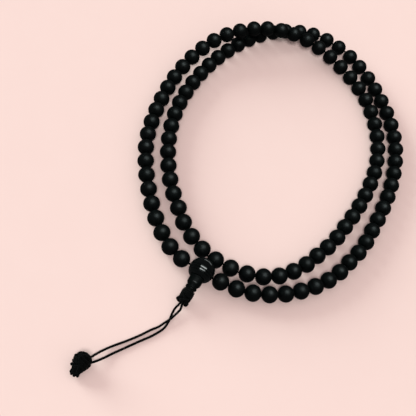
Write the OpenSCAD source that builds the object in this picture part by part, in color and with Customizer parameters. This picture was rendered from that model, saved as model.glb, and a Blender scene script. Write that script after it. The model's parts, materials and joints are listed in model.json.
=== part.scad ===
// Mala: 108 round beads and a three-hole guru bead on one cord, laid flat in a double loop.
// The cord's two ends leave the guru bead through a tower bead and a knot, and hang as a short
// tail of two strands that ends in a second knot. Millimetres, Z up, the part lies on Z = 0.
// The origin is on the ground at the middle of the laid loop, and the guru bead faces -Y.

/* [Round beads] */
// Outside diameter of a round bead
bead_d = 8; // [7.6:0.05:8]
// Diameter of the hole drilled through a round bead
bead_hole_d = 1.5; // [1.4:0.1:2]
// Length of cord that one round bead takes up
bead_pitch = 8.12; // [8.08:0.01:8.14]
// Bare cord between the guru bead and the first round bead
first_gap = 1; // [0.8:0.1:1.2]

/* [Guru bead] */
// Outside diameter of the three-hole guru bead
guru_d = 12.2; // [11.8:0.1:12.2]
// Diameter of the guru bead's two side holes
guru_side_hole_d = 1.8; // [1.6:0.1:2]
// Diameter of the guru bead's bottom hole, which takes both strands
guru_bottom_hole_d = 2.4; // [2.3:0.1:2.6]
// Depth of the turned grooves around the guru bead
guru_groove_depth = 0.25; // [0.1:0.05:0.35]

/* [Tower bead] */
// Outside diameter of the tower bead at the guru bead
tower_d = 7.3; // [6.7:0.1:7.4]
// Length of the tower bead
tower_len = 6.8; // [6.6:0.1:6.9]
// Diameter of the hole through the tower bead
tower_hole_d = 2.3; // [2.2:0.1:2.5]

/* [Cord and knots] */
// Diameter of the cord
cord_d = 1; // [0.9:0.05:1]
// Outside diameter of the knot under the tower bead
knot_d = 6.2; // [5.8:0.1:6.4]
// Length of the knot under the tower bead
knot_len = 7.4; // [7.1:0.1:7.5]

/* [Part shown] */
// Name of the one piece to draw, or all

/* [Hidden] */
$fn = 48;
bead_r = bead_d / 2;
cord_r = cord_d / 2;
guru_r = guru_d / 2;

// Number of beads in each group: beads of one group lie on one straight stretch of cord.
group_sizes = concat([1], [for (i = [1 : 20]) 2], [3, 3], [for (i = [1 : 4]) 2], [3],
                     [for (i = [1 : 18]) 2], [3, 3], [for (i = [1 : 4]) 2]);
group_count = len(group_sizes);
// Last group of the upper loop: the cord turns about the line between the guru bead and its end.
upper_last = 23;
// How the cord's slack is shared out: [number of groups, share after each of them].
slack_runs = [[1, 0.85], [5, 0.25], [8, 0.95], [9, 0.7], [4, 1.05], [8, 0.2], [5, 1.9], [3, 0.25], [2, 0.1], [7, 0.4]];
slack_shares = [for (run = slack_runs) for (i = [1 : run[0]]) run[1]];

// The guru bead: centre, directions of its three holes, and where the cord leaves the side holes.
guru_centre = [-6.9, -80.1, guru_r];
stem_heading = -96;
stem_fall = 9.5;
left_heading = 172;
right_heading = -7;
side_fall = 7.5;
exit_reach = 6.15;

function heading_vector(heading, fall) =
    [cos(fall) * cos(heading), cos(fall) * sin(heading), -sin(fall)];
stem_dir = heading_vector(stem_heading, stem_fall);
left_dir = heading_vector(left_heading, side_fall);
right_dir = heading_vector(right_heading, side_fall);
left_exit = guru_centre + exit_reach * left_dir;
right_exit = guru_centre + exit_reach * right_dir;

// The cord's way from the guru bead's left hole, twice around, to its right hole.
// Each point is [x, y, lift of the beads off the ground]; the upper loop crosses over the lower one.
route_points = [
    [-19.5, -78.5, 0], [-27.5, -73, 0], [-37.5, -64, 0], [-51, -44, 0], [-60, -23, 0],
    [-63, 1, 0], [-62.5, 23.5, 0.8], [-57.5, 42.5, 4], [-48, 58.5, 7.6], [-31.5, 73, 8.8],
    [-14.5, 81.5, 6], [3, 83, 2.2], [20, 77.5, 0], [35, 66, 0], [48, 45.5, 0],
    [53.5, 22, 0], [51.5, -6.5, 0], [45.5, -33, 0], [35, -55, 0], [20.5, -68, 0],
    [-3.5, -71, 0], [-24, -60.5, 0], [-43, -35, 0], [-53, -6, 0], [-53, 23.5, 0],
    [-45.5, 52.5, 0], [-32.5, 76, 0], [-17.5, 89.5, 0], [0, 95, 0], [21.5, 89, 0],
    [42.5, 71, 0], [58, 48, 0], [64, 19, 0], [62.5, -13.5, 0], [59, -33, 0],
    [50.5, -53, 0], [34.5, -70, 0], [16.5, -79, 0]
];

// The two strands of the tail, from the knot under the tower bead to the end knot.
tail_left_points = [
    [-9.6, -99.3, 2.8], [-10.4, -101.5, 2], [-10.6, -104, 1.2], [-10.5, -106.5, 0.55], [-10.6, -110, 0.5],
    [-11.5, -113.5, 0.5], [-14.5, -118.5, 0.5], [-18, -123, 0.5], [-21, -127, 0.5],
    [-24, -131, 0.6], [-26.5, -134.5, 0.9], [-29, -138.5, 1.8], [-31.5, -142, 2.8], [-33.2, -144, 3.5]
];
tail_right_points = [
    [-8.3, -99.3, 2.8], [-8, -100.8, 2.4], [-8.4, -102.6, 2.1], [-9.3, -105, 1.8], [-10.3, -107.5, 1.7],
    [-11.7, -110, 1.5], [-13.5, -113, 0.8], [-16, -116, 0.5], [-19.5, -121, 0.5], [-23.5, -126, 0.5],
    [-27, -130, 0.6], [-29.5, -133.3, 1], [-31.6, -136.8, 2.1], [-33.6, -140.8, 3.4], [-34.8, -143, 3.9]
];

// A smooth curve through every point of a list, with a number of steps from each point to the next.
function between(a, b, c, d, t) =
    0.5 * (2 * b + (c - a) * t + (2 * a - 5 * b + 4 * c - d) * t * t
           + (3 * b - a - 3 * c + d) * t * t * t);
function with_ends(p) =
    concat([2 * p[0] - p[1]], p, [2 * p[len(p) - 1] - p[len(p) - 2]]);
function smooth(p, steps) =
    let (q = with_ends(p))
    concat([for (i = [0 : len(p) - 2]) for (j = [0 : steps - 1])
                between(q[i], q[i + 1], q[i + 2], q[i + 3], j / steps)],
           [p[len(p) - 1]]);
function unit(v) = v / norm(v);
function sum_to(v, n) = n <= 0 ? 0 : v[n - 1] + sum_to(v, n - 1);

// The route as a fine polyline with its length so far, kept at least one bead radius off the ground.
route = concat([left_exit], [for (p = route_points) [p[0], p[1], bead_r + p[2]]], [right_exit]);
fine = [for (p = smooth(route, 16)) [p[0], p[1], max(p[2], bead_r)]];
so_far = [for (i = 0, s = 0; i < len(fine);
               s = i + 1 < len(fine) ? s + norm(fine[i + 1] - fine[i]) : s, i = i + 1) s];
route_len = so_far[len(so_far) - 1];
x_at = [for (i = [0 : len(fine) - 1]) [so_far[i], fine[i][0]]];
y_at = [for (i = [0 : len(fine) - 1]) [so_far[i], fine[i][1]]];
z_at = [for (i = [0 : len(fine) - 1]) [so_far[i], fine[i][2]]];
function along(s) = [lookup(s, x_at), lookup(s, y_at), lookup(s, z_at)];

// Where each group of beads begins and ends on the cord. What is left of the cord is its slack.
bead_total = sum_to(group_sizes, group_count);
slack = route_len - first_gap - bead_total * bead_pitch;
slack_unit = slack / sum_to(slack_shares, group_count);
function group_at(k) =
    first_gap + bead_pitch * sum_to(group_sizes, k) + slack_unit * sum_to(slack_shares, k);
group_end = [for (k = [0 : group_count - 1]) along(group_at(k) + group_sizes[k] * bead_pitch)];
group_start = [for (k = [0 : group_count - 1])
    k > 0 ? along(group_at(k)) : group_end[0] - bead_pitch * unit(group_end[0] - left_exit)];
function group_dir(k) = unit(group_end[k] - group_start[k]);
function bead_centre(k, j) =
    group_start[k] + (group_end[k] - group_start[k]) * (j + 0.5) / group_sizes[k];

// Names such as bead_001 and beads_002_003.
function digits3(n) = str(n < 100 ? "0" : "", n < 10 ? "0" : "", n);
function name_tail(first, n) = n == 0 ? "" : str("_", digits3(first), name_tail(first + 1, n - 1));
function group_name(k) =
    str(group_sizes[k] > 1 ? "beads" : "bead",
        name_tail(sum_to(group_sizes, k) + 1, group_sizes[k]));

// The stringing cord bends only between groups and runs straight through each one's holes.
bend_room = 0.12;
turn_point = (group_end[upper_last] + group_start[upper_last + 1]) / 2;
turn_gap = 0.1;
exit_gap = 0.15;
function through(k) =
    [group_start[k] + bend_room * group_dir(k), group_end[k] - bend_room * group_dir(k)];
upper_path = concat(
    [left_exit + exit_gap * unit(group_end[0] - left_exit)],
    [for (k = [0 : upper_last]) for (p = through(k)) p],
    [turn_point - turn_gap * group_dir(upper_last)]
);
// Inside the guru bead each strand rounds a corner and goes down the stem beside the other one.
stem_side = unit(cross(stem_dir, [0, 0, 1]));
strand_offset = 0.53;
function corner(sign) = guru_centre + sign * strand_offset * stem_side;
corner_reach = 1.6;
function rounded(from, at, to) =
    [for (t = [0 : 0.2 : 1]) (1 - t) * (1 - t) * from + 2 * t * (1 - t) * at + t * t * to];
stem_cord_end = 12.4;
function down_stem(from, sign) =
    concat(
        rounded(corner(sign) + corner_reach * unit(from - corner(sign)), corner(sign),
                corner(sign) + corner_reach * stem_dir),
        [corner(sign) + 4.5 * stem_dir, corner(sign) + 8 * stem_dir,
         corner(sign) + stem_cord_end * stem_dir]
    );
lower_path = concat(
    [turn_point + turn_gap * group_dir(upper_last + 1)],
    [for (k = [upper_last + 1 : group_count - 1]) for (p = through(k)) p],
    down_stem(right_exit, -1)
);
lead_path = concat(
    [left_exit - exit_gap * left_dir],
    down_stem(left_exit, 1)
);

// A round tube along a list of points, closed at both ends.
module tube(path, r, sides) {
    last = len(path) - 1;
    rings = [for (i = [0 : last])
        let (t = unit(unit(path[min(i + 1, last)] - path[max(i, 0)] + (i == last ? path[last] - path[last - 1] : [0, 0, 0]))
                      + unit(path[i] - path[max(i - 1, 0)] + (i == 0 ? path[1] - path[0] : [0, 0, 0]))),
             side = unit(cross(t, [0, 0, 1])),
             up = cross(side, t))
        for (j = [0 : sides - 1])
            path[i] + r * (cos(360 * j / sides) * side + sin(360 * j / sides) * up)];
    walls = [for (i = [0 : last - 1]) for (j = [0 : sides - 1])
        let (a = i * sides + j, b = i * sides + (j + 1) % sides)
        each [[a, b, b + sides], [a, b + sides, a + sides]]];
    start_cap = [for (j = [sides - 1 : -1 : 0]) j];
    end_cap = [for (j = [0 : sides - 1]) last * sides + j];
    polyhedron(rings, concat(walls, [start_cap, end_cap]));
}

// Turns the local Z axis to point along a direction.
module aim(v) {
    rotate([0, acos(v[2] / norm(v)), atan2(v[1], v[0])]) children();
}

module on_stem(distance) {
    translate(guru_centre + distance * stem_dir) aim(stem_dir) children();
}

module bead_group(k) {
    hole_len = bead_d + 2;
    color([0.05, 0.056, 0.055])
    for (j = [0 : group_sizes[k] - 1]) {
        translate(bead_centre(k, j)) aim(group_dir(k)) difference() {
            sphere(d = bead_d);
            cylinder(d = bead_hole_d, h = hole_len, center = true);
        }
    }
}

module cord_upper_loop() {
    color([0.03, 0.03, 0.03]) tube(upper_path, cord_r, 8);
}

module cord_lower_loop() {
    color([0.03, 0.03, 0.03]) {
        tube(lower_path, cord_r, 8);
        tube(lead_path, cord_r, 8);
    }
}

// A ball turned with grooves about the stem, flat where the tower bead seats, with three holes.
seat = 4.2;
groove_half = 0.25;
grooves = [-3.9, 0.1, 1.5, 2.8, 3.7];
function ball_radius(at) = sqrt(max(0, guru_r * guru_r - at * at));
function ball_arc(from, to, steps) =
    [for (i = [0 : steps]) let (at = from + (to - from) * i / steps) [ball_radius(at), at]];
turn_room_r = 1.7;
turn_room_half = 1.4;
guru_outline = concat(
    [[0, -guru_r]],
    [for (a = [10 : 10 : 40]) [guru_r * sin(a), -guru_r * cos(a)]],
    [for (i = [0 : len(grooves) - 1])
        let (from = i == 0 ? -4.4 : grooves[i - 1] + groove_half, at = grooves[i])
        each concat(ball_arc(from, at - groove_half, 5), [[ball_radius(at) - guru_groove_depth, at]])],
    ball_arc(grooves[len(grooves) - 1] + groove_half, seat, 5),
    [[guru_bottom_hole_d / 2, seat], [guru_bottom_hole_d / 2, turn_room_half + 0.5],
     [turn_room_r, turn_room_half], [turn_room_r, -turn_room_half],
     [guru_bottom_hole_d / 2, -turn_room_half - 0.5], [0, -turn_room_half - 0.5]]
);
module side_hole(direction) {
    inside_turn_room = 1.2;
    translate(guru_centre + inside_turn_room * direction) aim(direction)
        cylinder(d = guru_side_hole_d, h = guru_d);
}
module guru_bead() {
    color([0.04, 0.045, 0.045]) difference() {
        on_stem(0) rotate_extrude() polygon(guru_outline);
        side_hole(left_dir);
        side_hole(right_dir);
    }
}

// The tower bead: a broad foot on the guru bead's flat seat, a smooth barrel, a turned ring and a neck.
tower_gap = 0.05;
module tower_bead() {
    r = tower_d / 2;
    hole_r = tower_hole_d / 2;
    n = tower_len;
    color([0.04, 0.045, 0.045]) on_stem(seat + tower_gap) rotate_extrude() polygon([
        [hole_r, 0], [0.9 * r, 0], [0.98 * r, 0.02 * n], [r, 0.05 * n], [0.99 * r, 0.09 * n],
        [0.94 * r, 0.14 * n], [0.905 * r, 0.18 * n], [0.895 * r, 0.25 * n], [0.895 * r, 0.49 * n],
        [0.87 * r, 0.54 * n], [0.74 * r, 0.7 * n], [0.67 * r, 0.74 * n], [0.67 * r, 0.77 * n],
        [0.73 * r, 0.79 * n], [0.755 * r, 0.84 * n], [0.73 * r, 0.9 * n], [0.64 * r, 0.925 * n],
        [0.63 * r, 0.95 * n], [0.64 * r, 0.97 * n], [0.6 * r, n], [hole_r, n]
    ]);
}

// The knot under the tower bead: close wraps of cord, then a cluster of knotted bights.
knot_gap = 0.1;
module guru_knot() {
    r = knot_d / 2;
    wrap_r = 0.62;
    wraps = 4;
    bights = 6;
    end_bights = 4;
    cord_room_r = 1.12;
    cord_room_len = stem_cord_end - seat - tower_gap - tower_len - knot_gap + 0.2;
    color([0.03, 0.03, 0.03])
    on_stem(seat + tower_gap + tower_len + knot_gap) difference() {
        union() {
            cylinder(r1 = 0.62 * r, r2 = 0.84 * r, h = 0.09 * knot_len);
            translate([0, 0, 0.09 * knot_len]) cylinder(r = 0.84 * r, h = 0.62 * knot_len);
            translate([0, 0, 0.71 * knot_len]) cylinder(r1 = 0.84 * r, r2 = 0.5 * r, h = 0.29 * knot_len);
            for (i = [0 : wraps - 1])
                translate([0, 0, wrap_r + 0.1 + i * 2 * wrap_r * 0.93])
                    rotate_extrude() translate([r - wrap_r, 0]) circle(r = wrap_r, $fn = 24);
            for (i = [0 : bights - 1])
                rotate([0, 0, (i + 0.5) * 360 / bights])
                    translate([0.68 * r, 0, 0.69 * knot_len]) sphere(r = 0.33 * r, $fn = 24);
            for (i = [0 : end_bights - 1])
                rotate([0, 0, i * 360 / end_bights])
                    translate([0.42 * r, 0, 0.83 * knot_len]) sphere(r = 0.36 * r, $fn = 24);
            for (side = [-1, 1])
                rotate([0, 0, 90 + 15 * side])
                    translate([side * 0.72 * r, 0, 0.86 * knot_len]) sphere(r = 0.36 * r, $fn = 24);
        }
        translate([0, 0, -1]) cylinder(r = cord_room_r, h = cord_room_len + 1);
        translate([0, 0, knot_len - 0.05]) cylinder(r = knot_d, h = 3);
    }
}

module tail_cord_left() {
    color([0.03, 0.03, 0.03]) tube(smooth(tail_left_points, 2), cord_r, 8);
}

module tail_cord_right() {
    color([0.03, 0.03, 0.03]) tube(smooth(tail_right_points, 2), cord_r, 8);
}

// The end knot: a drop-shaped ball of wound cord that narrows to its blunt cut ends, with one stub.
end_knot_top = [-36.2, -140.9, 4.78];
end_knot_tip = [-36.6, -151.9, 2.03];
end_knot_outline = [
    [0, 0], [1.5, 0.12], [2.6, 0.7], [3.4, 1.7], [3.8, 2.8], [3.87, 3.6], [3.8, 4.5], [3.55, 5.5],
    [3.05, 6.7], [2.6, 7.9], [2.32, 9], [2.15, 10.1], [1.86, 10.8], [1, 11.25], [0, 11.34]
];
module end_knot() {
    stub = [-40, -147.9, 3.7];
    color([0.03, 0.03, 0.03]) union() {
        translate(end_knot_top) aim(end_knot_tip - end_knot_top)
            rotate_extrude() polygon(end_knot_outline);
        translate(stub) aim([-0.8, -0.2, 0.1]) translate([0, 0, -1.5]) cylinder(r = 0.75, h = 2.1);
    }
}

cord_upper_loop();
cord_lower_loop();
guru_bead();
tower_bead();
guru_knot();
tail_cord_left();
tail_cord_right();
end_knot();
for (k = [0 : group_count - 1])
    bead_group(k);
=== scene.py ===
"""Mala prayer beads: the visual model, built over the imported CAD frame. Metres, Z up."""
import bpy
import bmesh
import json
import math
import random
import numpy as np
from mathutils import Matrix, Vector

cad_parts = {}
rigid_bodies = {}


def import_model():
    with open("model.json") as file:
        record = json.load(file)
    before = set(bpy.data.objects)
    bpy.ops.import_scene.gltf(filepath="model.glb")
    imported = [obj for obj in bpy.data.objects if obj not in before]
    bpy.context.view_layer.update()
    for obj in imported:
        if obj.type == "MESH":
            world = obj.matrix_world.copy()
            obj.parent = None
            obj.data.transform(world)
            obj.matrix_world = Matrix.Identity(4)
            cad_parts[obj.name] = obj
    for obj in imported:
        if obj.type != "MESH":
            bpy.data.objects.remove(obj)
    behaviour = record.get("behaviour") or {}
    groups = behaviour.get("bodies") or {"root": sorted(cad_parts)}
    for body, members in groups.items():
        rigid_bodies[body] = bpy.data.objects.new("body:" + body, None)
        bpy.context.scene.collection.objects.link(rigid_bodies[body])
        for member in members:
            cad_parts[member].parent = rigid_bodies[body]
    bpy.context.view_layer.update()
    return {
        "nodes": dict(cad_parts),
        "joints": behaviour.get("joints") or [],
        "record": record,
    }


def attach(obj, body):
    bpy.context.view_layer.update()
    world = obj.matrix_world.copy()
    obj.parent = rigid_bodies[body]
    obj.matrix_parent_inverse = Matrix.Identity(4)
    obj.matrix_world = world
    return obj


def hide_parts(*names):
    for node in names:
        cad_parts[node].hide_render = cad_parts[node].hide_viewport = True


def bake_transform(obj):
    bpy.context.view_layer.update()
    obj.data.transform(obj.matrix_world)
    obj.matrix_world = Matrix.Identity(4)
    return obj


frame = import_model()
nodes = frame["nodes"]
joints = {j["name"]: j for j in frame["joints"]}
MM = 0.001
rng = random.Random(108)

# Sizes in millimetres. Places along the stem are measured from the guru bead's centre.
tower_joint_s = 8
guru_ball_r = 6.14
guru_seat = 4.2
tower_base = 4.25
guru_knot_top = 11.15
tail_start_s = 17.6
strand_offset = 0.53
tail_offset = 0.55
rest_z = 0.56
single_bead_half = 4.06
grain_shift = 17.3


def unit(v):
    v = np.array(v, float)
    return v / np.linalg.norm(v)


# ---------------------------------------------------------------- camera

def make_camera():
    elevation, roll = math.radians(55.41), math.radians(26.05)
    target, distance = Vector((-0.01697, -0.04291, 0)), 0.4605
    level_up = Vector((0, math.sin(elevation), math.cos(elevation)))
    back = Vector((0, -math.cos(elevation), math.sin(elevation)))
    right = math.cos(roll) * Vector((1, 0, 0)) + math.sin(roll) * level_up
    up = back.cross(right)
    data = bpy.data.cameras.new("camera")
    data.sensor_width, data.lens = 36, 81.53
    data.clip_start, data.clip_end = 0.01, 20
    camera = bpy.data.objects.new("camera", data)
    bpy.context.scene.collection.objects.link(camera)
    m = Matrix((right, up, back)).transposed().to_4x4()
    m.translation = target + distance * back
    camera.matrix_world = m
    bpy.context.scene.camera = camera


make_camera()


# ---------------------------------------------------------------- mesh tools

def add_mesh(name, verts, faces, material, sharp=None):
    mesh = bpy.data.meshes.new(name)
    mesh.from_pydata([tuple(map(float, v)) for v in verts], [], faces)
    mesh.validate()
    mesh.polygons.foreach_set("use_smooth", [True] * len(mesh.polygons))
    mesh.materials.append(material)
    if sharp is not None:
        bm = bmesh.new()
        bm.from_mesh(mesh)
        for e in bm.edges:
            if len(e.link_faces) == 2 and e.calc_face_angle() > sharp:
                e.smooth = False
        bm.to_mesh(mesh)
        bm.free()
    mesh.update()
    piece = bpy.data.objects.new(name, mesh)
    bpy.context.scene.collection.objects.link(piece)
    return piece


def store_vectors(mesh, name, values):
    layer = mesh.attributes.new(name, "FLOAT_VECTOR", "POINT")
    layer.data.foreach_set("vector", np.asarray(values, np.float32).ravel())


def basis(axis):
    """Two unit vectors across an axis."""
    axis = unit(axis)
    helper = np.array([0.0, 0.0, 1.0]) if abs(axis[2]) < 0.9 else np.array([1.0, 0.0, 0.0])
    side = unit(np.cross(axis, helper))
    return side, np.cross(axis, side)


def revolve(profile, centre, axis, segments, turn=0.0, wobble=None):
    """A closed ring of profile points (radius, height) turned about an axis.

    Returns vertices, faces and local points."""
    axis = unit(axis)
    side, up = basis(axis)
    verts, faces, local = [], [], []
    rings = len(profile)
    for i in range(segments):
        a = turn + 2 * math.pi * i / segments
        d = math.cos(a) * side + math.sin(a) * up
        for j, (rho, h) in enumerate(profile):
            k = wobble(a - turn, h) if wobble else 1.0
            verts.append(centre + (rho * d + h * axis) * k)
            local.append((rho * math.cos(a), rho * math.sin(a), h))
    for i in range(segments):
        n = (i + 1) % segments
        for j in range(rings):
            m = (j + 1) % rings
            faces.append((i * rings + j, n * rings + j, n * rings + m, i * rings + m))
    return verts, faces, local


def spline(points, step):
    """A smooth curve through the points, resampled at about one step."""
    p = np.array(points, float)
    q = np.vstack([2 * p[0] - p[1], p, 2 * p[-1] - p[-2]])
    fine = []
    for i in range(len(p) - 1):
        a, b, c, d = q[i:i + 4]
        for t in np.linspace(0, 1, 24, endpoint=False):
            fine.append(0.5 * (2 * b + (c - a) * t + (2 * a - 5 * b + 4 * c - d) * t * t
                               + (3 * b - a - 3 * c + d) * t ** 3))
    fine = np.array(fine + [p[-1]])
    along = np.r_[0, np.cumsum(np.linalg.norm(np.diff(fine, axis=0), axis=1))]
    s = np.linspace(0, along[-1], max(3, int(round(along[-1] / step)) + 1))
    return np.column_stack([np.interp(s, along, fine[:, k]) for k in range(3)])


def tube(path, radius, sides, plies=0, ply_depth=0.0, lay_length=1.0, closed=False):
    """A round or plied cord along a path. Returns vertices, faces and (around, along) for each vertex."""
    p = np.array(path, float)
    if closed:
        t = np.roll(p, -1, 0) - np.roll(p, 1, 0)
    else:
        t = np.gradient(p, axis=0)
    t /= np.linalg.norm(t, axis=1)[:, None]
    side, _ = basis(t[0])
    sides_at = [side]
    for i in range(1, len(p)):
        side = side - t[i] * side.dot(t[i])
        side /= np.linalg.norm(side)
        sides_at.append(side)
    along = np.r_[0, np.cumsum(np.linalg.norm(np.diff(p, axis=0), axis=1))]
    twist_back = 0.0
    if closed:
        end = sides_at[-1] - t[0] * sides_at[-1].dot(t[0])
        end /= np.linalg.norm(end)
        twist_back = math.atan2(np.cross(sides_at[0], end).dot(t[0]), sides_at[0].dot(end))
    verts, where = [], []
    for i in range(len(p)):
        s, u = sides_at[i], np.cross(t[i], sides_at[i])
        r = radius
        if not closed:
            near = min(along[i], along[-1] - along[i]) / radius
            r = radius * (1.0 if near >= 1 else max(0.35, math.sqrt(1 - (1 - near) ** 2)))
        for j in range(sides):
            a = 2 * math.pi * j / sides - twist_back * along[i] / max(along[-1], 1e-9)
            k = r
            if plies:
                ply = plies * a - 2 * math.pi * along[i] / lay_length
                k = r * (1 - ply_depth * (0.5 - 0.5 * math.cos(ply)))
            verts.append(p[i] + k * (math.cos(a) * s + math.sin(a) * u))
            where.append((j / sides, along[i], 0.0))
    faces = []
    n = len(p)
    for i in range(n if closed else n - 1):
        m = (i + 1) % n
        for j in range(sides):
            k = (j + 1) % sides
            faces.append((i * sides + j, i * sides + k, m * sides + k, m * sides + j))
    if not closed:
        faces.append(tuple(range(sides - 1, -1, -1)))
        faces.append(tuple((n - 1) * sides + j for j in range(sides)))
    return verts, faces, where


class Batch:
    """Several tubes or solids gathered in one mesh."""

    def __init__(self):
        self.verts, self.faces, self.local = [], [], []

    def add(self, verts, faces, local):
        base = len(self.verts)
        self.verts += list(verts)
        self.local += list(local)
        self.faces += [tuple(base + i for i in f) for f in faces]


# ---------------------------------------------------------------- materials

def new_material(name):
    m = bpy.data.materials.new(name)
    m.use_nodes = True
    tree = m.node_tree
    shader = tree.nodes["Principled BSDF"]
    return m, tree, shader


def node(tree, kind, **inputs):
    n = tree.nodes.new(kind)
    for key, value in inputs.items():
        key = key.replace("_", " ")
        if key in n.inputs:
            n.inputs[key].default_value = value
        else:
            setattr(n, key.replace(" ", "_"), value)
    return n


def ramp(tree, source, stops):
    n = tree.nodes.new("ShaderNodeValToRGB")
    while len(n.color_ramp.elements) > len(stops):
        n.color_ramp.elements.remove(n.color_ramp.elements[-1])
    while len(n.color_ramp.elements) < len(stops):
        n.color_ramp.elements.new(1.0)
    for e, (at, colour) in zip(n.color_ramp.elements, stops):
        e.position = at
        e.color = (*colour, 1) if len(colour) == 3 else colour
    tree.links.new(source, n.inputs["Fac"])
    return n.outputs["Color"]


def wood_material(name, roughness, bump, coat, dark, light, specular=0.42):
    """Dyed close-grained wood: grain lines and pores from the piece's own grain coordinates."""
    m, tree, shader = new_material(name)
    link = tree.links.new
    grain = node(tree, "ShaderNodeAttribute", attribute_name="grain")
    stretch = node(tree, "ShaderNodeMapping")
    stretch.inputs["Scale"].default_value = (1.0, 1.0, 0.12)
    link(grain.outputs["Vector"], stretch.inputs["Vector"])
    fibres = node(tree, "ShaderNodeTexNoise", Scale=9.0, Detail=5.0, Roughness=0.6)
    link(stretch.outputs["Vector"], fibres.inputs["Vector"])
    rings = node(tree, "ShaderNodeTexWave", Scale=0.55, Distortion=4.0, Detail=3.0)
    rings.wave_type = "RINGS"
    link(grain.outputs["Vector"], rings.inputs["Vector"])
    pores = node(tree, "ShaderNodeTexVoronoi", Scale=5.5)
    link(stretch.outputs["Vector"], pores.inputs["Vector"])
    cloud = node(tree, "ShaderNodeTexNoise", Scale=0.45, Detail=3.0)
    link(grain.outputs["Vector"], cloud.inputs["Vector"])
    mix = node(tree, "ShaderNodeMix", data_type="FLOAT")
    mix.inputs[0].default_value = 0.45
    link(fibres.outputs["Fac"], mix.inputs[2])
    link(rings.outputs["Fac"], mix.inputs[3])
    colour = ramp(tree, mix.outputs[0], [(0.3, dark), (0.75, light)])
    specks = ramp(tree, pores.outputs["Distance"], [(0.0, (1, 1, 1)), (0.1, (0, 0, 0))])
    worn = node(tree, "ShaderNodeMix", data_type="RGBA")
    link(colour, worn.inputs[6])
    worn.inputs[7].default_value = (0.022, 0.026, 0.024, 1)
    speck_amount = node(tree, "ShaderNodeMath", operation="MULTIPLY")
    link(specks, speck_amount.inputs[0])
    speck_amount.inputs[1].default_value = 0.5
    link(speck_amount.outputs[0], worn.inputs[0])
    link(worn.outputs[2], shader.inputs["Base Color"])
    rough = node(tree, "ShaderNodeMapRange")
    rough.inputs["From Min"].default_value, rough.inputs["From Max"].default_value = 0.3, 0.7
    rough.inputs["To Min"].default_value = roughness - 0.05
    rough.inputs["To Max"].default_value = roughness + 0.07
    link(cloud.outputs["Fac"], rough.inputs["Value"])
    link(rough.outputs["Result"], shader.inputs["Roughness"])
    height = node(tree, "ShaderNodeMix", data_type="FLOAT")
    height.inputs[0].default_value = 0.35
    link(fibres.outputs["Fac"], height.inputs[2])
    link(pores.outputs["Distance"], height.inputs[3])
    relief = node(tree, "ShaderNodeBump", Strength=bump, Distance=0.00004)
    link(height.outputs[0], relief.inputs["Height"])
    link(relief.outputs["Normal"], shader.inputs["Normal"])
    shader.inputs["Specular IOR Level"].default_value = specular
    shader.inputs["Coat Weight"].default_value = coat
    shader.inputs["Coat Roughness"].default_value = 0.12
    return m


def cord_material(name, tight):
    """Black braided nylon: a diagonal plait in both directions over a soft fibre sheen, with painted shade
    darkening the base colour in the grooves between the strands.
    """
    m, tree, shader = new_material(name)
    link = tree.links.new
    place = node(tree, "ShaderNodeAttribute", attribute_name="lay")
    split = node(tree, "ShaderNodeSeparateXYZ")
    link(place.outputs["Vector"], split.inputs["Vector"])
    strands = []
    for sign in (1, -1):
        around = node(tree, "ShaderNodeMath", operation="MULTIPLY")
        around.inputs[1].default_value = sign * 4.0
        link(split.outputs["X"], around.inputs[0])
        along = node(tree, "ShaderNodeMath", operation="MULTIPLY_ADD")
        along.inputs[1].default_value = tight
        link(split.outputs["Y"], along.inputs[0])
        link(around.outputs[0], along.inputs[2])
        turn = node(tree, "ShaderNodeMath", operation="MULTIPLY")
        turn.inputs[1].default_value = 2 * math.pi
        link(along.outputs[0], turn.inputs[0])
        wave = node(tree, "ShaderNodeMath", operation="SINE")
        link(turn.outputs[0], wave.inputs[0])
        strands.append(wave.outputs[0])
    plait = node(tree, "ShaderNodeMath", operation="MAXIMUM")
    link(strands[0], plait.inputs[0])
    link(strands[1], plait.inputs[1])
    spot = node(tree, "ShaderNodeTexCoord")
    fuzz = node(tree, "ShaderNodeTexNoise", Scale=2600.0, Detail=3.0)
    link(spot.outputs["Object"], fuzz.inputs["Vector"])
    dyes = [(0.3, (0.0006, 0.0008, 0.0008)), (0.8, (0.003, 0.0036, 0.0034))]
    colour = ramp(tree, fuzz.outputs["Fac"], dyes)
    # Painted shade: the plait pattern multiplies the base colour down to 0.35 in the grooves between the
    # strands.
    dark = node(tree, "ShaderNodeMix", data_type="RGBA", blend_type="MULTIPLY")
    dark.inputs[0].default_value = 1.0
    link(colour, dark.inputs[6])
    shade = ramp(tree, plait.outputs[0], [(0.0, (0.35, 0.35, 0.35)), (0.8, (1, 1, 1))])
    link(shade, dark.inputs[7])
    link(dark.outputs[2], shader.inputs["Base Color"])
    height = node(tree, "ShaderNodeMath", operation="MULTIPLY_ADD")
    height.inputs[1].default_value = 0.25
    link(fuzz.outputs["Fac"], height.inputs[0])
    link(plait.outputs[0], height.inputs[2])
    relief = node(tree, "ShaderNodeBump", Strength=0.6, Distance=0.00006)
    link(height.outputs[0], relief.inputs["Height"])
    link(relief.outputs["Normal"], shader.inputs["Normal"])
    rough = node(tree, "ShaderNodeMapRange")
    rough.inputs["To Min"].default_value, rough.inputs["To Max"].default_value = 0.55, 0.8
    link(fuzz.outputs["Fac"], rough.inputs["Value"])
    link(rough.outputs["Result"], shader.inputs["Roughness"])
    shader.inputs["Specular IOR Level"].default_value = 0.06
    shader.inputs["Sheen Weight"].default_value = 0.02
    shader.inputs["Sheen Roughness"].default_value = 0.5
    return m


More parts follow.
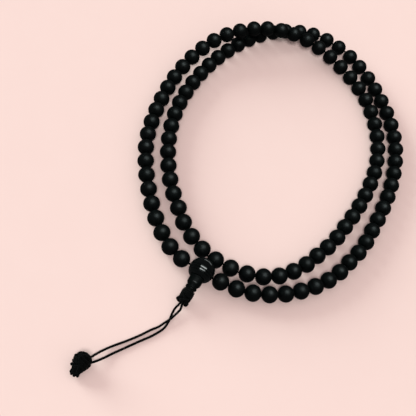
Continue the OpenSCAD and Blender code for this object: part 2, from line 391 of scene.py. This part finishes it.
bead_wood = wood_material("bead_wood", 0.4, 0.35, 0.0, (0.0003, 0.0006, 0.0006), (0.0011, 0.0021, 0.002))
guru_wood = wood_material("guru_wood", 0.11, 0.06, 0.5, (0.0005, 0.0008, 0.0008), (0.0013, 0.0019, 0.0018))
tower_wood = wood_material("tower_wood", 0.4, 0.08, 0.16, (0.0005, 0.0008, 0.0008), (0.0013, 0.0019, 0.0018),
                           specular=0.1)
cord_look = cord_material("cord_nylon", 1250.0)
knot_look = cord_material("knot_nylon", 1000.0)


# ---------------------------------------------------------------- the tail, a free cord in two strands

tail_left_points = [(x * MM, y * MM, max(z, 0.57) * MM) for x, y, z in [
    (-9.6, -99.3, 2.8), (-10.4, -101.5, 2), (-10.6, -104, 1.2), (-10.5, -106.5, 0.55), (-10.6, -110, 0.5),
    (-11.5, -113.5, 0.5), (-14.5, -118.5, 0.5), (-18, -123, 0.5), (-21, -127, 0.5),
    (-24, -131, 0.6), (-26.5, -134.5, 0.9), (-29, -138.5, 1.8), (-31.5, -142, 2.8), (-33.2, -144, 3.5)]]
tail_right_points = [(x * MM, y * MM, max(z, 0.57) * MM) for x, y, z in [
    (-8.3, -99.3, 2.8), (-8, -100.8, 2.4), (-8.4, -102.6, 2.1), (-9.3, -105, 1.8), (-10.3, -107.5, 1.7),
    (-11.7, -110, 1.5), (-13.5, -113, 0.8), (-16, -116, 0.5), (-19.5, -121, 0.5), (-23.5, -126, 0.5),
    (-27, -130, 0.6), (-29.5, -133.3, 1), (-31.6, -136.8, 2.1), (-33.6, -140.8, 3.4), (-34.8, -143, 3.9)]]
cord_r = 0.5 * MM

# The stem: from the guru bead's centre down through the tower bead and the knot.
tower_joint = joints["tower_bead_turn"]
stem = unit(tower_joint["axis"])
guru_centre = np.array(tower_joint["pos_m"]) - tower_joint_s * MM * stem
stem_side = unit(np.cross(stem, [0, 0, 1]))
stem_up = unit(np.cross(stem_side, stem))


def on_stem(s, across=0.0, up=0.0):
    """A point s millimetres along the stem from the guru bead's centre."""
    return guru_centre + MM * (s * stem + across * stem_side + up * stem_up)


def make_tail_strand(name, points, start, replaced):
    whole = [start] + [np.array(p) for p in points]
    path = spline(whole, 0.16 * MM)
    verts, faces, where = tube(path, 1.12 * cord_r, 14, plies=3, ply_depth=0.08, lay_length=1.8 * MM)
    piece = add_mesh(name, verts, faces, cord_look)
    store_vectors(piece.data, "lay", where)
    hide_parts(replaced)
    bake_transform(piece)
    return piece


# ---------------------------------------------------------------- knots

def weave_ring(middle, radius, half_height, bulge, bights, cord_radius, batch, phase):
    """A three-lead Turk's head around the stem: each strand passes over and under the other two."""
    path = []
    steps = 420
    for i in range(steps):
        a = 6 * math.pi * i / steps
        turn = bights * a / 3 + phase
        h = middle + half_height * math.cos(turn)
        r = (radius + bulge * math.sin(2 * turn)) * (1 - 0.06 * math.cos(turn))
        path.append(on_stem(h, r * math.cos(a), r * math.sin(a)))
    batch.add(*tube(path, cord_radius * MM, 12, plies=2, ply_depth=0.08, lay_length=1.3 * MM,
                    closed=True))


def wrap_turns(start, end, radius_at, turns, cord_radius, batch):
    """A close helix of cord around the stem."""
    path = []
    steps = int(turns * 44)
    for i in range(steps + 1):
        f = i / steps
        a = 2 * math.pi * turns * f
        s = start + (end - start) * f
        r = radius_at(s)
        path.append(on_stem(s, r * math.cos(a), r * math.sin(a)))
    batch.add(*tube(path, cord_radius * MM, 12, plies=2, ply_depth=0.08, lay_length=1.3 * MM))


def bight(points, cord_radius, batch):
    path = spline([on_stem(*p) for p in points], 0.2 * MM)
    batch.add(*tube(path, cord_radius * MM, 12, plies=2, ply_depth=0.08, lay_length=1.3 * MM))


def make_guru_knot():
    batch = Batch()
    top = guru_knot_top
    core = [(0.02, top + 0.2), (1.6, top + 0.25), (2.0, top + 1), (2.05, top + 5.9), (1.5, top + 6.9),
            (0.02, top + 7.1)]
    v, f, l = revolve([(r * MM, h * MM) for r, h in core], guru_centre, stem, 24)
    batch.add(v, f, [(x / (2 * math.pi), z, 0) for x, y, z in l])
    wrap_turns(top + 0.55, top + 3.9, lambda s: 2.54 - 0.4 * max(0, top + 1.3 - s), 4.0, 0.53, batch)
    weave_ring(top + 5.35, 2.3, 1.5, 0.42, 4, 0.52, batch, 0.6)
    bight([(16.2, 1.5, 0.3), (17.1, 2.6, 0.4), (17.6, 2.9, 0.0), (17.9, 2.2, -0.5), (17.0, 1.2, -0.6)],
          0.55, batch)
    bight([(16.0, -1.4, 0.2), (17.2, -2.2, 0.1), (18.2, -2.4, -0.3), (18.4, -1.6, -0.8), (17.2, -0.9, -0.6)],
          0.6, batch)
    piece = add_mesh("guru_knot_wound", batch.verts, batch.faces, knot_look)
    store_vectors(piece.data, "lay", batch.local)
    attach(piece, "laid_loop")
    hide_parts("guru_knot")


# The end knot's own axis, from its top to its cut ends.
knot_top = np.array([-36.2, -140.9, 4.78])
knot_tip = np.array([-37.0, -152.0, 2.03])
knot_axis = unit(knot_tip - knot_top)
knot_side = unit(np.cross(knot_axis, [0, 0, 1]))
knot_up = np.cross(knot_side, knot_axis)


def knot_width(s):
    """Distance of the outer turns of cord from the knot's axis."""
    return float(np.interp(s, [0.4, 1.0, 2.0, 3.2, 4.4, 5.6, 6.8, 8.0, 9.2, 10.2, 10.9],
                           [0.7, 2.0, 2.95, 3.4, 3.42, 3.12, 2.62, 2.15, 1.88, 1.7, 1.1]))


def in_knot(s, a, scale=1.0):
    r = knot_width(s) * scale
    p = knot_top + s * knot_axis + r * (1.08 * math.cos(a) * knot_side + math.sin(a) * knot_up)
    p[2] = max(p[2], rest_z)
    return p * MM


def make_end_knot():
    batch = Batch()
    r = random.Random(7)
    core = [(0.02, 0.3), (1.5, 0.6), (2.6, 1.6), (3.05, 3.0), (3.05, 4.6), (2.6, 6.2), (2.0, 8.0),
            (1.7, 10.2), (0.02, 10.8)]
    v, f, l = revolve([(x * MM, h * MM) for x, h in core], knot_top * MM, knot_axis, 24)
    batch.add(v, f, [(x / (2 * math.pi), z, 0) for x, y, z in l])
    for k, middle in enumerate((1.3, 2.5, 3.7, 4.9, 6.2, 7.5)):
        tilt, roll = r.uniform(0.5, 0.9), r.uniform(0, 2 * math.pi)
        path = []
        for i in range(80):
            a = 2 * math.pi * i / 80
            s = middle + tilt * math.cos(a + roll) + 0.2 * math.sin(3 * a + k)
            path.append(in_knot(s, a, 0.97 + 0.05 * math.sin(2 * a + 1.9 * k)))
        batch.add(*tube(path, 0.52 * MM, 12, plies=2, ply_depth=0.06, lay_length=1.6 * MM,
                        closed=True))
    for k in range(7):
        a0 = k * 2 * math.pi / 7 + r.uniform(-0.2, 0.2)
        sweep = r.uniform(1.2, 2.0) * (1 if k % 2 else -1)
        path = []
        for i in range(70):
            f = i / 69
            waver = 0.97 + 0.07 * math.sin(5.2 * math.pi * f + 2.1 * k)
            path.append(in_knot(0.5 + 10.2 * f, a0 + sweep * f, waver))
        batch.add(*tube(path, 0.5 * MM, 12, plies=2, ply_depth=0.06, lay_length=1.6 * MM))
    ends = [
        [(-38.2, -147.0, 3.6), (-39.4, -147.8, 3.65), (-40.4, -148.1, 3.7)],
        [(-37.3, -149.2, 2.5), (-37.9, -150.6, 2.2), (-38.2, -151.8, 1.9)],
        [(-35.9, -149.0, 2.4), (-35.5, -150.4, 2.1), (-35.2, -151.6, 1.8)],
        [(-36.6, -149.4, 2.9), (-36.7, -150.9, 2.5), (-36.7, -152.2, 2.1)]]
    for points in ends:
        path = spline([np.array(p) * MM for p in points], 0.2 * MM)
        batch.add(*tube(path, 0.75 * MM, 14, plies=3, ply_depth=0.08, lay_length=1.8 * MM))
    piece = add_mesh("end_knot_tied", batch.verts, batch.faces, knot_look)
    store_vectors(piece.data, "lay", batch.local)
    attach(piece, "tail")
    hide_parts("end_knot")
    return piece


make_guru_knot()
end_knot_piece = make_end_knot()
make_tail_strand("tail_strand_left", tail_left_points, on_stem(tail_start_s, tail_offset, 0),
                 "tail_cord_left")
make_tail_strand("tail_strand_right", tail_right_points, on_stem(tail_start_s, -tail_offset, 0),
                 "tail_cord_right")


# ---------------------------------------------------------------- round beads

bead_r, hole_r = 4.0 * MM, 0.75 * MM
turned_r = 4.1 * MM


def bead_profile():
    points = []
    rim = math.asin(0.27)
    for i in range(27):
        a = rim + (math.pi - 2 * rim) * i / 26
        points.append((turned_r * math.sin(a), -turned_r * math.cos(a)))
    inner = [(0.236, 0.9645), (0.206, 0.958), (0.188, 0.94), (0.1866, 0.90), (0.1866, 0.3)]
    ring = [(r * turned_r, h * turned_r) for r, h in inner]
    return points + ring + [(r, -h) for r, h in reversed(ring)]


profile = bead_profile()


def random_turn(r):
    q = np.array([r.gauss(0, 1) for _ in range(4)])
    w, x, y, z = q / np.linalg.norm(q)
    return np.array([[1 - 2 * (y * y + z * z), 2 * (x * y - z * w), 2 * (x * z + y * w)],
                     [2 * (x * y + z * w), 1 - 2 * (x * x + z * z), 2 * (y * z - x * w)],
                     [2 * (x * z - y * w), 2 * (y * z + x * w), 1 - 2 * (x * x + y * y)]])


group_names = [n["node"] for n in frame["record"]["subparts"] if n["node"].startswith("bead")]
group_centres, group_axes = {}, {}
for name in group_names:
    count = name.count("_")
    joint = joints.get(name + "_turn") or joints[name + "_slide"]
    axis = unit(joint["axis"]) * (1 if name + "_turn" in joints else -1)
    co = np.array([v.co for v in nodes[name].data.vertices])
    along = co @ axis
    flat = math.sqrt(bead_r ** 2 - hole_r ** 2)
    first, last = along.min() + flat, along.max() - flat
    if name + "_turn" in joints:
        point = np.array(joint["pos_m"])
    else:
        point = (co.min(0) + co.max(0)) / 2
    centres = []
    for k in range(count):
        s = (first + last) / 2 if count == 1 else first + (last - first) * k / (count - 1)
        centres.append(point + (s - point @ axis) * axis)
    group_centres[name], group_axes[name] = centres, axis

for name in group_names:
    batch = Batch()
    axis = group_axes[name]
    for centre in group_centres[name]:
        lumps = [(rng.uniform(0, 6.28), rng.uniform(0, 6.28), rng.uniform(0.001, 0.003))
                 for _ in range(3)]
        short = rng.uniform(0.968, 0.98)

        def wobble(a, h, lumps=lumps):
            return 1 - sum(g * (1 + math.sin((k + 2) * a + p + h / bead_r * 2.5 + q)) / 2
                           for k, (p, q, g) in enumerate(lumps))
        shape = [(r, h * short) for r, h in profile]
        v, f, local = revolve(shape, centre, axis, 40, turn=rng.uniform(0, 6.28), wobble=wobble)
        turn = random_turn(rng)
        shift = np.array([rng.uniform(-40, 40) for _ in range(3)])
        batch.add(v, f, (np.array(local) / MM) @ turn.T + shift)
    piece = add_mesh(name + "_wood", batch.verts, batch.faces, bead_wood)
    store_vectors(piece.data, "grain", batch.local)
    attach(piece, name)
    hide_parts(name)


# ---------------------------------------------------------------- guru bead and tower bead

def ball(s):
    """The guru bead's radius at a height s along the stem, in millimetres."""
    return math.sqrt(max(0.0, guru_ball_r ** 2 - s * s))


def guru_profile():
    """From the far pole, over the turned bands, to the seat, and back up the bore into the turning room."""
    bands = [(-4.75, -4.05, 0.0), (-3.75, -0.35, 0.0), (0.22, 0.7, 0.1), (1.54, 2.0, 0.05), (2.7, 3.4, 0.25),
             (3.52, 4.06, 0.25)]
    points = [(r, -ball(r)) for r in (0.03, 0.6, 1.2, 1.8, 2.4, 3.0, 3.5)]
    last = None
    for low, high, lean in bands:
        middle = low - 0.14 if last is None else (last + low) / 2
        points.append((ball(middle) - max(0.2, 1.2 * (low - middle)), middle))
        steps = max(6, int((high - low) / 0.16))
        for i in range(steps + 1):
            h = low + (high - low) * i / steps
            points.append((ball(h) - lean * (h - low), h))
        last = high
    points += [(4.35, 4.12), (4.15, guru_seat), (3.8, guru_seat), (1.5, guru_seat), (1.2, 4.0), (1.2, 2.2),
               (1.7, 1.6), (1.7, -1.4), (1.2, -2.0), (0.03, -2.05)]
    return [(r * MM, h * MM) for r, h in points]


def cut(piece, cutters):
    for c in cutters:
        mod = piece.modifiers.new("hole", "BOOLEAN")
        mod.operation, mod.object, mod.solver = "DIFFERENCE", c, "EXACT"
    shaped = bpy.data.meshes.new_from_object(piece.evaluated_get(bpy.context.evaluated_depsgraph_get()))
    piece.modifiers.clear()
    old, piece.data = piece.data, shaped
    bpy.data.meshes.remove(old)
    for c in cutters:
        bpy.data.objects.remove(c)


def drill(name, start, direction, radius, length):
    """A cutter with a flared mouth."""
    side, up = basis(direction)
    mouth = length * 0.5
    rings = [(0.0, radius), (mouth - 0.5 * MM, radius), (mouth - 0.12 * MM, radius * 1.06),
             (mouth + 0.1 * MM, radius * 1.3), (length, radius * 2.2)]
    verts = [start + h * unit(direction) + r * (math.cos(a) * side + math.sin(a) * up)
             for h, r in rings for a in (2 * math.pi * j / 40 for j in range(40))]
    faces = [(i * 40 + j, i * 40 + (j + 1) % 40, (i + 1) * 40 + (j + 1) % 40, (i + 1) * 40 + j)
             for i in range(len(rings) - 1) for j in range(40)]
    faces += [tuple(range(39, -1, -1)), tuple((len(rings) - 1) * 40 + j for j in range(40))]
    mesh = bpy.data.meshes.new(name)
    mesh.from_pydata([tuple(map(float, v)) for v in verts], [], faces)
    piece = bpy.data.objects.new(name, mesh)
    bpy.context.scene.collection.objects.link(piece)
    return piece


def smooth_by_angle(mesh, angle):
    bm = bmesh.new()
    bm.from_mesh(mesh)
    for face in bm.faces:
        face.smooth = True
    for e in bm.edges:
        e.smooth = not (len(e.link_faces) == 2 and e.calc_face_angle() > angle)
    bm.to_mesh(mesh)
    bm.free()


left_exit = np.array(joints["upper_loop_lift"]["pos_m"])
left_dir = unit(left_exit - guru_centre)
right_turn, right_dip = math.radians(-7), math.radians(7.5)
right_dir = unit([math.cos(right_turn) * math.cos(right_dip), math.sin(right_turn) * math.cos(right_dip),
                  -math.sin(right_dip)])


def grain_from_place(piece, centre, axis):
    side, up = basis(axis)
    co = (np.array([v.co for v in piece.data.vertices]) - centre) / MM
    store_vectors(piece.data, "grain", np.column_stack([co @ side, co @ up, co @ unit(axis)]) + grain_shift)


def make_guru_bead():
    v, f, _ = revolve(guru_profile(), guru_centre, stem, 96)
    piece = add_mesh("guru_bead_turned", v, f, guru_wood)
    holes = [drill("left_hole", guru_centre, left_dir, 0.9 * MM, 12 * MM),
             drill("right_hole", guru_centre, right_dir, 0.9 * MM, 12 * MM)]
    bpy.context.view_layer.update()
    cut(piece, holes)
    smooth_by_angle(piece.data, math.radians(14))
    grain_from_place(piece, guru_centre, stem)
    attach(piece, "laid_loop")
    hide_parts("guru_bead")


def make_tower_bead():
    """A foot, a barrel that rounds off to a waist, a ring and a neck, bored through."""
    foot = [(1.15, 0.0), (1.3, 0.0), (3.4, 0.0), (3.56, 0.06), (3.63, 0.2), (3.63, 0.44), (3.5, 0.66)]
    barrel = [(3.3, 1.0), (3.3, 1.45), (3.305, 1.9), (3.31, 2.5), (3.31, 3.2), (3.22, 3.54), (3.07, 3.76),
              (2.8, 4.24), (2.42, 4.82), (2.42, 5.0)]
    ring = [(2.5, 5.14), (2.75, 5.42), (2.76, 5.68), (2.76, 5.95), (2.34, 6.28)]
    neck = [(2.34, 6.45), (2.34, 6.7), (2.2, 6.8), (1.3, 6.8), (1.17, 6.7), (1.15, 6.5), (1.15, 3.4)]
    shape = foot + barrel + ring + neck
    v, f, local = revolve([(x * MM, (tower_base + h) * MM) for x, h in shape], guru_centre, stem, 72)
    piece = add_mesh("tower_bead_turned", v, f, tower_wood, sharp=math.radians(13))
    grain_from_place(piece, guru_centre, stem)
    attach(piece, "tower_bead")
    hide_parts("tower_bead")


make_guru_bead()
make_tower_bead()


# ---------------------------------------------------------------- the stringing cord inside the beads

def ends_of(name):
    """Where the cord enters and leaves a group's holes."""
    c, axis = group_centres[name], group_axes[name]
    half = single_bead_half * MM if len(c) == 1 else np.linalg.norm(c[1] - c[0]) / 2
    reach = half - 0.12 * MM
    return c[0] - reach * axis, c[-1] + reach * axis


def strand(name, points, replaced, body, step=0.5):
    path = spline(points, step * MM)
    verts, faces, where = tube(path, cord_r, 12, plies=3, ply_depth=0.12, lay_length=1.5 * MM)
    piece = add_mesh(name, verts, faces, cord_look)
    store_vectors(piece.data, "lay", where)
    if body:
        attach(piece, body)
    for n in replaced:
        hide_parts(n)
    return piece


def down_stem(across):
    return [on_stem(s, across) for s in (2.6, 6, 10.5, 12.4)]


def through_groups(names):
    points = []
    for n in names:
        a, b = ends_of(n)
        points += [a + (b - a) * i / 3 for i in range(4)]
    return points


turn_at = next(i for i, n in enumerate(group_names) if n.endswith("_049")) + 1
upper_names, lower_names = group_names[:turn_at], group_names[turn_at:]
first_centre, first_axis = group_centres[group_names[0]][0], group_axes[group_names[0]]
upper_points = through_groups(upper_names)
upper_points[0] = first_centre - 2.5 * MM * first_axis
upper_points[-1] = group_centres[upper_names[-1]][-1] + 2.5 * MM * group_axes[upper_names[-1]]
strand("stringing_cord_upper", upper_points, ["cord_upper_loop"], "upper_loop")

lower_points = through_groups(lower_names)
lower_points[0] = group_centres[lower_names[0]][0] - 2.5 * MM * group_axes[lower_names[0]]
lower_points += [guru_centre + 6.15 * MM * right_dir, guru_centre + 3.5 * MM * right_dir,
                 guru_centre + 1.2 * MM * right_dir - 0.3 * MM * stem_side + 0.5 * MM * stem,
                 *down_stem(-strand_offset)]
strand("stringing_cord_lower", lower_points, ["cord_lower_loop"], "laid_loop")
inner_left = [left_exit - 0.6 * MM * left_dir, left_exit - 2.6 * MM * left_dir,
              guru_centre + 1.2 * MM * left_dir + 0.3 * MM * stem_side + 0.5 * MM * stem,
              *down_stem(strand_offset)]
strand("stringing_cord_inner", inner_left, [], "laid_loop")

# Two short lengths of the same cord bend where the upper loop is lifted.
bend_step = 0.2
lead_points = [left_exit - 1.2 * MM * left_dir, left_exit, first_centre - 3.2 * MM * first_axis,
               first_centre - 2.2 * MM * first_axis]
lead = strand("stringing_cord_lead", lead_points, [], None, bend_step)
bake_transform(lead)
a_axis, b_axis = group_axes[upper_names[-1]], group_axes[lower_names[0]]
a_end, b_start = group_centres[upper_names[-1]][-1], group_centres[lower_names[0]][0]
turn_points = [a_end + 2.2 * MM * a_axis, a_end + 3.4 * MM * a_axis, b_start - 3.4 * MM * b_axis,
               b_start - 2.2 * MM * b_axis]
turn = strand("stringing_cord_turn", turn_points, [], None, bend_step)
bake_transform(turn)


# ---------------------------------------------------------------- floor and light

def make_floor():
    m, tree, shader = new_material("floor_paint")
    link = tree.links.new
    spot = node(tree, "ShaderNodeTexCoord")
    noise = node(tree, "ShaderNodeTexNoise", Scale=60.0, Detail=4.0)
    link(spot.outputs["Object"], noise.inputs["Vector"])
    tint = ramp(tree, noise.outputs["Fac"], [(0.3, (0.797, 0.604, 0.556)), (0.7, (0.803, 0.610, 0.562))])
    link(tint, shader.inputs["Base Color"])
    shader.inputs["Roughness"].default_value = 0.9
    shader.inputs["Specular IOR Level"].default_value = 0.0
    mesh = bpy.data.meshes.new("floor")
    half = 9.0
    corners = [(-half, -half, 0), (half, -half, 0), (half, half, 0), (-half, half, 0)]
    mesh.from_pydata(corners, [], [(0, 1, 2, 3)])
    mesh.materials.append(m)
    floor = bpy.data.objects.new("floor", mesh)
    bpy.context.scene.collection.objects.link(floor)
    floor.visible_glossy = False


def aim_lamp(data, direction):
    """A lamp that shines back along the direction."""
    lamp = bpy.data.objects.new(data.name, data)
    lamp.rotation_mode = "QUATERNION"
    lamp.rotation_quaternion = Vector(direction).to_track_quat("Z", "Y")
    bpy.context.scene.collection.objects.link(lamp)
    return lamp


def softbox(name, direction, width, height, power, lit_only):
    """A rectangular lamp about a metre from the guru bead, facing it."""
    data = bpy.data.lights.new(name, "AREA")
    data.shape, data.size, data.size_y = "RECTANGLE", width, height
    data.energy, data.color = power, (0.93, 1.0, 0.975)
    lamp = aim_lamp(data, direction)
    lamp.location = Vector((-0.007, -0.08, 0)) + Vector(direction)
    lamp.light_linking.receiver_collection = lit_only


def sun(name, direction, strength, angle, colour, lit_only=None):
    """A distant soft lamp. The direction points from the object towards the lamp.

    Only a lamp that is linked to some of the pieces shows in their reflections."""
    data = bpy.data.lights.new(name, "SUN")
    data.energy, data.angle, data.color = strength, math.radians(angle), colour
    lamp = aim_lamp(data, direction)
    lamp.visible_glossy = lit_only is not None
    if lit_only is not None:
        lamp.light_linking.receiver_collection = lit_only


def make_light():
    turned = bpy.data.collections.new("turned_beads")
    strung = bpy.data.collections.new("strung_beads")
    for o in bpy.context.scene.objects:
        if o.type == "MESH" and o.name != "floor":
            (turned if o.name.endswith("_turned") else strung).objects.link(o)
    softbox("softbox_strip", (0.02, -0.25, 0.967), 1.0, 0.52, 13, turned)
    softbox("rim_strip", (0.2, 0.97, 0.1), 0.8, 0.14, 0.45, turned)
    sun("softbox_overhead", (0.03, 0.05, 1.0), 1.25, 46, (0.84, 1.0, 0.985), strung)
    sun("front_fill", (0.0, -0.57, 0.82), 1.39, 14, (1.0, 1.0, 1.0))
    sun("side_soft", (-0.937, 0.251, 0.242), 4.02, 36, (0.86, 1.0, 0.98))
    world = bpy.data.worlds.new("world")
    world.use_nodes = True
    tree = world.node_tree
    back = tree.nodes["Background"]
    back.inputs["Color"].default_value = (1.0, 0.93, 0.94, 1)
    path = tree.nodes.new("ShaderNodeLightPath")
    dim = tree.nodes.new("ShaderNodeMapRange")
    dim.inputs["To Min"].default_value, dim.inputs["To Max"].default_value = 0.588, 0.04
    tree.links.new(path.outputs["Is Glossy Ray"], dim.inputs["Value"])
    tree.links.new(dim.outputs["Result"], back.inputs["Strength"])
    bpy.context.scene.world = world
    bpy.context.scene.view_settings.view_transform = "Standard"


make_floor()
make_light()
